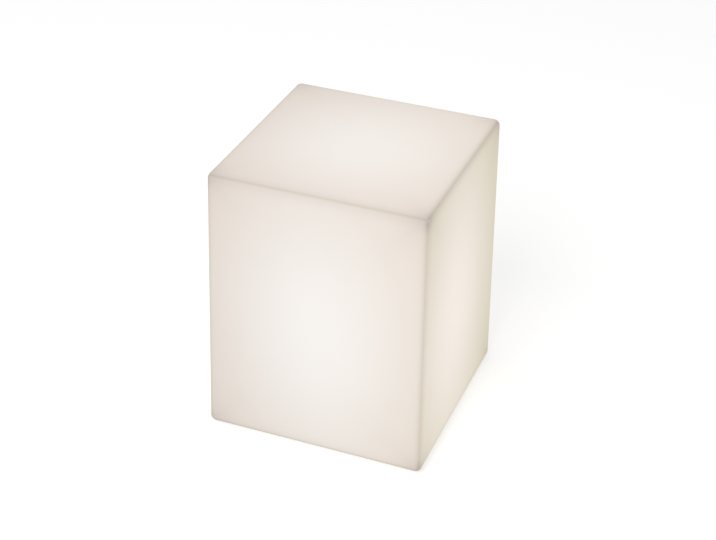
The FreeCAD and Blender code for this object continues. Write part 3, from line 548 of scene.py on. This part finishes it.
def taperedBlock(baseWidth, topWidth, bottom, top, radius, segments):
    bm = bmesh.new()
    bmesh.ops.create_cube(bm, size=1)
    for corners, width, level in (([v for v in bm.verts if v.co.z < 0], baseWidth, bottom),
                                  ([v for v in bm.verts if v.co.z > 0], topWidth, top)):
        bmesh.ops.scale(bm, verts=corners, vec=(width, width, 0))
        bmesh.ops.translate(bm, verts=corners, vec=(0, 0, level))
    bmesh.ops.bevel(bm, geom=bm.edges[:], offset=radius, segments=segments, profile=0.5,
                    affect="EDGES", material=-1)
    return bm


def ringSpots(circle, count, firstAngle):
    angles = [math.radians(firstAngle + n * 360 / count) for n in range(count)]
    return [(circle * math.cos(a), circle * math.sin(a)) for a in angles]


flangeSpots = ringSpots(shellSizes["flangeScrewCircle"], shellSizes["flangeScrews"],
                        shellSizes["firstFlangeScrew"])
footSpots = [(sideways * shellSizes["footReach"], back * shellSizes["footReach"])
             for back in (-1, 1) for sideways in (-1, 1)]


def drum(radius, low, high, x=0, y=0, steps=48, topRadius=None):
    bm = bmesh.new()
    bmesh.ops.create_cone(bm, cap_ends=True, segments=steps, radius1=radius, radius2=topRadius or radius,
                          depth=high - low)
    return shifted(bm, x, y, (low + high) / 2)


def makeShell():
    s = shellSizes
    wall, bottom, spare, steps = s["wall"], s["bottom"], s["spare"], s["roundSteps"]
    lean = (s["baseWidth"] - s["topWidth"]) / (s["top"] - bottom)
    roof = bottom + s["wellDepth"]
    mouth = s["wellRadius"] + s["wellFlare"]
    lip = mouth + s["lipRound"]
    outside = taperedBlock(s["baseWidth"], s["topWidth"], bottom, s["top"], s["edgeRadius"],
                           s["edgeSegments"])
    well = turnedForm([
        (0, 0, 0), (lip, 0, 0), (lip, bottom, 0), (mouth, bottom, s["lipRound"]),
        (s["wellRadius"], roof, s["roofRound"]), (0, roof, 0)], steps)
    shell = carved(outside, "DIFFERENCE", well)
    panHole = drum(s["panHole"], roof - 2 * spare, roof + wall + 2 * spare, steps=steps)
    shell = carved(shell, "DIFFERENCE", panHole)

    # the hole is there first, so the inside and the outside are one skin and the normals come out right
    inside = taperedBlock(s["baseWidth"] - 2 * wall - lean * wall, s["topWidth"] - 2 * wall + lean * wall,
                          bottom + wall, s["top"] - wall, s["edgeRadius"] - wall, s["innerSegments"])
    wellSkin = turnedForm([
        (0, 0, 0), (mouth + wall, 0, 0), (mouth + wall, bottom, 0),
        (s["wellRadius"] + wall, roof + wall, s["roofRound"] + wall), (0, roof + wall, 0)], steps)
    shell = carved(shell, "DIFFERENCE", carved(inside, "DIFFERENCE", wellSkin))

    bosses = [drum(s["bossRadius"], roof + spare, roof + s["bossHeight"], x, y) for x, y in flangeSpots]
    bosses += [drum(s["footBossRadius"], bottom + spare, bottom + s["bossHeight"] + s["pocketDepth"],
                    x, y, topRadius=s["bossRadius"]) for x, y in footSpots]
    shell = carved(shell, "UNION", combined(bosses))
    sides = s["insertSides"]
    corner = s["insertFlats"] / 2 / math.cos(math.pi / sides)
    pits = [drum(corner, roof - spare, roof + s["insertLength"], x, y, sides) for x, y in flangeSpots]
    shell = carved(shell, "DIFFERENCE", combined(pits))
    pockets = [drum(s["pocketRadius"], bottom - 3 * spare, bottom + s["pocketDepth"], x, y)
               for x, y in footSpots]
    shell = carved(shell, "DIFFERENCE", combined(pockets))
    pits = [drum(corner, bottom + spare, bottom + s["pocketDepth"] + s["insertLength"], x, y, sides)
            for x, y in footSpots]
    shell = carved(shell, "DIFFERENCE", combined(pits))
    piece = toObject("rotomoulded_shell", shell, s["smoothAngle"])
    weighted = piece.modifiers.new("even shading", "WEIGHTED_NORMAL")
    weighted.keep_sharp = True
    weighted.weight = 100
    return piece


shell = makeShell()
finishPiece(shell, "lamp", "shell_plastic", "shade_shell")
print("shell:", len(shell.data.polygons), "faces")


# screws, with a cross recess in each head

screwSizes = {
    "headRadius": 0.0039, "headHeight": 0.0022, "shankRadius": 0.00195, "length": 0.012, "tip": 0.0006,
    "dome": ((0.42, 0.97, 0.0006), (0.80, 0.66, 0.0008), (1.0, 0.12, 0.0002)),  # shares and rounding
    "recessSpan": 0.0042, "recessWidth": 0.0009, "recessDepth": 0.0014, "recessTaper": (0.45, 0.7, 1),
    "bladeReach": 0.001, "steps": 32, "turnEach": 0.9, "flangeSeat": 0.0296, "footSeat": 0.003,
}


def recessBlade(turn):
    s = screwSizes
    bm = slabForm((-s["recessSpan"] / 2, -s["recessWidth"] / 2, -s["bladeReach"]),
                  (s["recessSpan"] / 2, s["recessWidth"] / 2, s["recessDepth"]))
    deep = [v for v in bm.verts if v.co.z > 0]
    bmesh.ops.scale(bm, verts=deep, vec=s["recessTaper"])
    bmesh.ops.rotate(bm, verts=bm.verts, cent=(0, 0, 0), matrix=Matrix.Rotation(turn, 3, "Z"))
    return bm


def makeScrew():
    # heads down: the seat is at zero and the head hangs below it
    s = screwSizes
    head = [(across * s["headRadius"], -down * s["headHeight"], rounding)
            for across, down, rounding in s["dome"]]
    bm = turnedForm([(0, -s["headHeight"], 0), *head, (s["headRadius"], 0, 0), (s["shankRadius"], 0, 0),
                     (s["shankRadius"], s["length"] - s["tip"], 0),
                     (s["shankRadius"] - s["tip"], s["length"], 0), (0, s["length"], 0)], s["steps"])
    cross = carved(recessBlade(0), "UNION", recessBlade(math.pi / 2))
    return carved(bm, "DIFFERENCE", shifted(cross, 0, 0, -s["headHeight"]))


def makeScrews(name, spots, seat, node):
    forms = []
    for n, (x, y) in enumerate(spots):
        screw = makeScrew()
        bmesh.ops.rotate(screw, verts=screw.verts, cent=(0, 0, 0),
                         matrix=Matrix.Rotation(screwSizes["turnEach"] * n, 3, "Z"))
        forms.append(shifted(screw, x, y, seat))
    finishPiece(toObject(name, combined(forms)), "lamp", "screw_steel", node)


makeScrews("flange_screws_cross_recessed", flangeSpots, screwSizes["flangeSeat"], "flange_screws")
makeScrews("foot_screws_cross_recessed", footSpots, screwSizes["footSeat"], "foot_screws")


# feet

footSizes = {
    "bore": 0.00235, "sink": 0.0043, "sinkTop": 0.003, "grooveRadius": 0.0074, "grooveDepth": 0.0008,
    "soleRadius": 0.0110, "radius": 0.0120, "stand": 0.004, "top": 0.006, "steps": 64,
    "sinkRound": 0.0004, "deepRound": 0.0003, "grooveRound": 0.0002, "soleRound": 0.0007,
}


def makeFoot(name, x, y, node):
    s = footSizes
    groove = s["grooveDepth"]
    bm = turnedForm([
        (s["bore"], s["sinkTop"], 0), (s["sink"], s["sinkTop"], s["deepRound"]),
        (s["sink"], 0, s["sinkRound"]), (s["grooveRadius"] - groove, 0, s["grooveRound"]),
        (s["grooveRadius"], groove, s["deepRound"]), (s["grooveRadius"] + groove, 0, s["grooveRound"]),
        (s["soleRadius"], 0, s["soleRound"]), (s["radius"], s["stand"], 0), (s["radius"], s["top"], 0),
        (s["bore"], s["top"], 0)], s["steps"], closed=True)
    finishPiece(toObject(name, shifted(bm, x, y)), "lamp", "foot_rubber", node)


for name, (x, y) in zip(("front_left", "front_right", "back_left", "back_right"), footSpots):
    makeFoot("rubber_foot_" + name, x, y, "foot_" + name)
print("screws and feet")


# button, its trim ring and the charging light's lens

controlRow = -0.028  # Y of the button, the lens and the charging socket

buttonSizes = {"x": -0.027, "radius": 0.008, "face": 0.028, "faceDrop": 0.0006, "edgeRound": 0.0004,
               "dome": ((0.45, 0.85, 0.0012), (0.8, 0.35, 0.0008)),  # shares and rounding
               "lipRadius": 0.0098, "lip": 0.0334, "wall": 0.0013, "postRadius": 0.0026, "top": 0.0344,
               "steps": 72}


def makeButton():
    s = buttonSizes
    radius, face, top = s["radius"], s["face"], s["top"]
    dome = [(across * radius, face - down * s["faceDrop"], rounding) for across, down, rounding in s["dome"]]
    cap = turnedForm([
        (0, face - s["faceDrop"], 0), *dome, (radius, face + s["edgeRound"], s["edgeRound"]),
        (radius, s["lip"], 0), (s["lipRadius"], s["lip"], 0), (s["lipRadius"], top, 0),
        (radius - s["wall"], top, 0), (radius - s["wall"], face + s["wall"], 0),
        (s["postRadius"], face + s["wall"], 0), (s["postRadius"], top, 0), (0, top, 0)], s["steps"])
    piece = toObject("button_cap_domed", shifted(cap, s["x"], controlRow))
    finishPiece(piece, "power_button", "button_plastic", "button_cap")


trimSizes = {"inner": 0.0083, "outer": 0.0110, "low": 0.0280, "high": 0.0295, "slope": 0.0010,
             "innerRound": 0.0003, "outerRound": 0.0005, "steps": 96}


def makeTrimRing():
    s = trimSizes
    ring = turnedForm([
        (s["inner"], s["low"], s["innerRound"]), (s["outer"] - s["slope"], s["low"], s["outerRound"]),
        (s["outer"], s["low"] + s["slope"], s["outerRound"]), (s["outer"], s["high"], 0),
        (s["inner"], s["high"], 0)], s["steps"], closed=True)
    piece = toObject("button_trim_ring", shifted(ring, buttonSizes["x"], controlRow))
    finishPiece(piece, "lamp", "bezel_metal", "button_bezel")


lensSizes = {"x": 0.0, "radius": 0.002, "low": 0.029, "tipRadius": 0.0012, "tipRise": 0.00025,
             "tipRound": 0.0005, "edgeRound": 0.0002, "flangeRadius": 0.0032, "flangeLow": 0.0325,
             "flangeHigh": 0.0335, "end": 0.0389, "steps": 48}


def makeLens():
    s = lensSizes
    radius = s["radius"]
    lens = turnedForm([
        (0, s["low"], 0), (s["tipRadius"], s["low"], s["tipRound"]),
        (radius, s["low"] + s["tipRise"], s["edgeRound"]), (radius, s["flangeLow"], 0),
        (s["flangeRadius"], s["flangeLow"], 0), (s["flangeRadius"], s["flangeHigh"], 0),
        (radius, s["flangeHigh"], 0), (radius, s["end"], 0), (0, s["end"], 0)], s["steps"])
    piece = toObject("charging_light_lens", shifted(lens, s["x"], controlRow))
    finishPiece(piece, "lamp", "lens_plastic", "indicator_lens")


makeButton()
makeTrimRing()
makeLens()


# silicone cap over the charging socket, its strap and the strap's fixed end

capSizes = {"x": 0.027, "coverRadius": 0.010, "under": 0.0279, "over": 0.0293,
            "plugOuter": 0.0076, "plugInner": 0.0060, "plugTop": 0.0312, "steps": 72,
            "tabWidth": 0.008, "tabFront": -0.0415, "tabLength": 0.007, "cornerRound": 0.002,
            "strapWidth": 0.007, "strapStart": -0.020, "strapEnd": -0.0172,
            "softEdge": 0.0003, "softSegments": 3, "softAngle": 50, "flatAngle": 2, "merge": 1e-5}


def softened(bm):
    # rounds every edge that is sharper than softAngle
    s = capSizes
    bmesh.ops.dissolve_limit(bm, angle_limit=math.radians(s["flatAngle"]), verts=bm.verts, edges=bm.edges)
    sharp = [e for e in bm.edges
             if len(e.link_faces) == 2 and e.calc_face_angle(0) > math.radians(s["softAngle"])]
    bmesh.ops.bevel(bm, geom=sharp, offset=s["softEdge"], segments=s["softSegments"], profile=0.5,
                    affect="EDGES", material=-1, clamp_overlap=True)
    bmesh.ops.remove_doubles(bm, verts=bm.verts, dist=s["merge"])
    return inOrder(bm)


def makeSocketCap():
    s = capSizes
    x, under, over = s["x"], s["under"], s["over"]
    cover = shifted(turnedForm([
        (0, under, 0), (s["coverRadius"], under, 0), (s["coverRadius"], over, 0), (s["plugOuter"], over, 0),
        (s["plugOuter"], s["plugTop"], 0), (s["plugInner"], s["plugTop"], 0), (s["plugInner"], over, 0),
        (0, over, 0)], s["steps"]), x, controlRow)
    tab = slabForm((x - s["tabWidth"] / 2, s["tabFront"], under),
                   (x + s["tabWidth"] / 2, s["tabFront"] + s["tabLength"], over), s["cornerRound"])
    strap = slabForm((x - s["strapWidth"] / 2, s["strapStart"], under),
                     (x + s["strapWidth"] / 2, s["strapEnd"], over))
    whole = carved(carved(cover, "UNION", tab), "UNION", strap)
    piece = toObject("silicone_socket_cap", softened(whole))
    finishPiece(piece, "charge_cap", "cap_rubber", "socket_cap")


anchorSizes = {"start": -0.0128, "end": -0.004, "panel": 0.0295, "studY": -0.0095, "studRadius": 0.002,
               "studSunk": 0.0005, "barbRadius": 0.003, "barbLow": 0.0325, "barbTop": 0.0345, "steps": 32}


def makeStrapEnd():
    s = anchorSizes
    x, halfStrap = capSizes["x"], capSizes["strapWidth"] / 2
    pad = slabForm((x - halfStrap, s["start"], capSizes["under"]), (x + halfStrap, s["end"], s["panel"]),
                   capSizes["cornerRound"])
    sunk = s["panel"] - s["studSunk"]
    stud = shifted(turnedForm([
        (0, sunk, 0), (s["studRadius"], sunk, 0), (s["studRadius"], s["barbLow"], 0),
        (s["barbRadius"], s["barbLow"], 0), (s["studRadius"], s["barbTop"], 0), (0, s["barbTop"], 0)],
        s["steps"]), x, s["studY"])
    piece = toObject("strap_fixed_end", carved(softened(pad), "UNION", stud))
    finishPiece(piece, "lamp", "cap_rubber", "cap_anchor")


webSizes = {"under": 0.0285, "over": 0.0292, "narrower": 0.0004, "overlap": 0.0004, "cuts": 30,
            "bendStart": -0.0147, "bendEnd": -0.0169, "hingeZ": 0.0289}


def makeStrapWeb():
    # the thin part of the strap between its two ends, which bends on the real cap; here a flat strip cut
    # many times along its length
    s = webSizes
    x, halfWidth = capSizes["x"], capSizes["strapWidth"] / 2 - s["narrower"]
    front, back = capSizes["strapEnd"] - s["overlap"], anchorSizes["start"] + s["overlap"]
    web = slabForm((x - halfWidth, front, s["under"]), (x + halfWidth, back, s["over"]))
    lengthwise = [e for e in web.edges if abs((e.verts[0].co - e.verts[1].co).y) > samePoint]
    bmesh.ops.subdivide_edges(web, edges=lengthwise, cuts=s["cuts"], use_grid_fill=True)
    piece = toObject("strap_web", web)
    piece.data.materials.append(finishes["cap_rubber"])
    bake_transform(piece)


makeSocketCap()
makeStrapEnd()
makeStrapWeb()
print("controls and socket cap")


# stage: floor, light and camera

stageSettings = {
    "floorSize": 14.0, "floorColour": 0.78, "floorLift": 0.43,
    "skyFill": 0.60, "keyPower": 40, "keySize": 1.8,
    "keyPlace": (-0.25, -2.1, 2.35), "keyTarget": (0, 0, 0.22),
}


def seenDirectly(tree, path):
    # one for what the camera sees, also in gloss and through the lens
    seen = compute(tree, "ADD", path["Is Camera Ray"], path["Is Glossy Ray"])
    return compute(tree, "MINIMUM", compute(tree, "ADD", seen, path["Is Transmission Ray"]), 1.0)


def makeFloor():
    s = stageSettings
    bm = bmesh.new()
    bmesh.ops.create_grid(bm, x_segments=1, y_segments=1, size=s["floorSize"] / 2)
    mesh = bpy.data.meshes.new("floor")
    bm.to_mesh(mesh)
    bm.free()
    floor = bpy.data.objects.new("floor", mesh)
    bpy.context.scene.collection.objects.link(floor)
    material = bpy.data.materials.new("floor")
    material.use_nodes = True
    tree = material.node_tree
    tree.nodes.clear()
    paper = place(tree, "ShaderNodeBsdfDiffuse", Color=(s["floorColour"],) * 3 + (1,))
    path = place(tree, "ShaderNodeLightPath").outputs
    lift = place(tree, "ShaderNodeEmission", Color=(1, 1, 1, 1),
                 Strength=compute(tree, "MULTIPLY", seenDirectly(tree, path), s["floorLift"]))
    both = tree.nodes.new("ShaderNodeAddShader")
    tree.links.new(paper.outputs[0], both.inputs[0])
    tree.links.new(lift.outputs[0], both.inputs[1])
    clear = tree.nodes.new("ShaderNodeBsdfTransparent")
    # from below the floor is clear, and it lets the sky light the underside
    behind = place(tree, "ShaderNodeNewGeometry").outputs["Backfacing"]
    oneSided = place(tree, "ShaderNodeMixShader",
                     Fac=compute(tree, "MAXIMUM", behind, path["Is Diffuse Ray"]))
    tree.links.new(both.outputs[0], oneSided.inputs[1])
    tree.links.new(clear.outputs[0], oneSided.inputs[2])
    output = tree.nodes.new("ShaderNodeOutputMaterial")
    tree.links.new(oneSided.outputs[0], output.inputs["Surface"])
    floor.data.materials.append(material)
    return floor


def makeLamp(name, power, size, position, target):
    data = bpy.data.lights.new(name, "AREA")
    data.shape = "DISK"
    data.size = size
    data.energy = power
    lamp = bpy.data.objects.new(name, data)
    lamp.location = position
    lamp.rotation_euler = (Vector(target) - Vector(position)).to_track_quat("-Z", "Y").to_euler()
    bpy.context.scene.collection.objects.link(lamp)
    return lamp


def makeSky():
    world = bpy.data.worlds.new("studio")
    world.use_nodes = True
    tree = world.node_tree
    tree.nodes.clear()
    path = place(tree, "ShaderNodeLightPath").outputs
    skyFill = stageSettings["skyFill"]
    strength = compute(tree, "MULTIPLY_ADD", seenDirectly(tree, path), 1.0 - skyFill, skyFill)
    sky = place(tree, "ShaderNodeBackground", Color=(1, 1, 1, 1), Strength=strength)
    output = tree.nodes.new("ShaderNodeOutputWorld")
    tree.links.new(sky.outputs[0], output.inputs["Surface"])
    bpy.context.scene.world = world


cameraSettings = {
    "azimuth": 0.360132, "elevation": 0.555166, "roll": 0.021516,  # radians
    "lens": 80.597, "sensor": 36.0,
    "back": 2.554537, "right": 0.002997, "up": 0.041943, "target": (0, 0, 0.179),
}


def makeCamera():
    s = cameraSettings
    azimuth, elevation, roll = s["azimuth"], s["elevation"], s["roll"]
    back = Vector((math.sin(azimuth) * math.cos(elevation), -math.cos(azimuth) * math.cos(elevation),
                   math.sin(elevation)))
    levelRight = Vector((math.cos(azimuth), math.sin(azimuth), 0))
    levelUp = back.cross(levelRight)
    right = levelRight * math.cos(roll) + levelUp * math.sin(roll)
    up = levelUp * math.cos(roll) - levelRight * math.sin(roll)
    spot = Vector(s["target"]) + back * s["back"] + levelRight * s["right"] + levelUp * s["up"]
    data = bpy.data.cameras.new("camera")
    data.lens = s["lens"]
    data.sensor_width = s["sensor"]
    data.sensor_fit = "HORIZONTAL"
    camera = bpy.data.objects.new("camera", data)
    turn = Matrix((right, up, back)).transposed().to_4x4()
    camera.matrix_world = Matrix.Translation(spot) @ turn
    bpy.context.scene.collection.objects.link(camera)
    bpy.context.scene.camera = camera


floor = makeFloor()
keyLamp = makeLamp("key", stageSettings["keyPower"], stageSettings["keySize"], stageSettings["keyPlace"],
                   stageSettings["keyTarget"])
makeSky()
makeCamera()
bpy.context.scene.view_settings.view_transform = "Standard"
print("stage ready")
